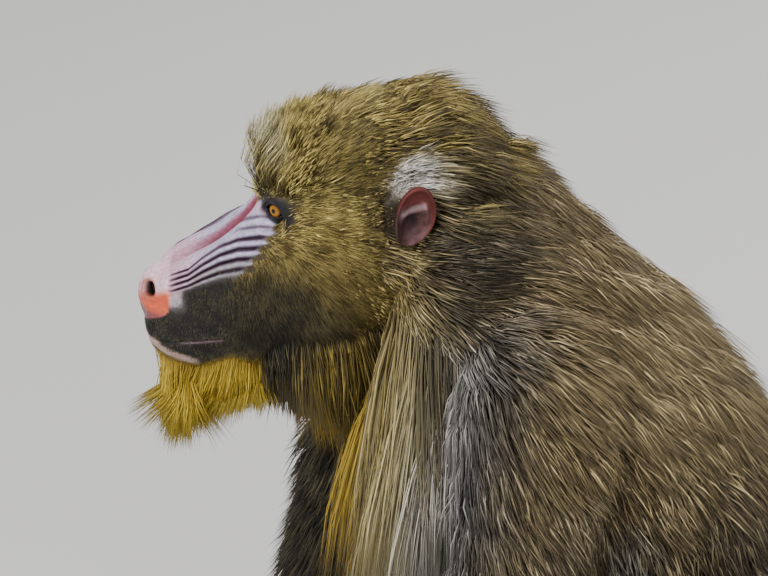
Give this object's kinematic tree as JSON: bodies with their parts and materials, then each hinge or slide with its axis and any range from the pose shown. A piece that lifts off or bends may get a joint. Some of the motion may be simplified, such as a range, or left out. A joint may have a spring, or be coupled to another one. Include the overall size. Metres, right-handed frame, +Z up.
{
  "type": "mandrill",
  "caption": "Life-size seated adult male mandrill with ribbed muzzle, beard and mane, leaning forward on its hands, one arm reaching ahead.",
  "frame": {"origin": "on the flat seat under the rump, on the animal's middle plane, at floor level", "axes": "+Z up, the animal faces -Y, and its left side is towards +X"},
  "size_m": [0.554, 0.592, 0.6226],
  "materials": {
    "eye": "wet amber eye with a black pupil",
    "nose_skin": "bare red skin, slightly moist",
    "muzzle_skin": "bare lavender and blue-grey ribbed skin with a satin sheen",
    "ear_skin": "thin bare dull pink skin",
    "rump_skin": "bare lilac, blue and pink skin with a red seat",
    "hand_skin": "dark bare skin of the hands and feet",
    "nail": "dark smooth nails",
    "head_fur": "short speckled olive-gold fur with a longer crest",
    "beard_fur": "soft yellow-orange beard, paler at the chin",
    "mane_fur": "long grey-brown hair that falls over the neck and shoulders",
    "body_fur": "dense speckled brown-grey coat with golden tips",
    "limb_fur": "dark dense coat of the arms and legs"
  },
  "bodies": {
    "root": {"eye_left": "eye", "eye_right": "eye", "nose": "nose_skin", "head": "head_fur", "snout": "muzzle_skin", "lower_jaw": "beard_fur", "ear_left": "ear_skin", "ear_right": "ear_skin", "rump": "rump_skin", "loin": "body_fur", "chest": "body_fur", "neck": "mane_fur", "tail": "body_fur", "upper_arm_left": "limb_fur", "upper_arm_right": "limb_fur", "forearm_left": "limb_fur", "forearm_right": "limb_fur", "hand_left": "hand_skin", "hand_right": "hand_skin", "thigh_left": "limb_fur", "thigh_right": "limb_fur", "shank_left": "limb_fur", "shank_right": "limb_fur", "foot_left": "hand_skin", "foot_right": "hand_skin"}
  },
  "joints": []
}
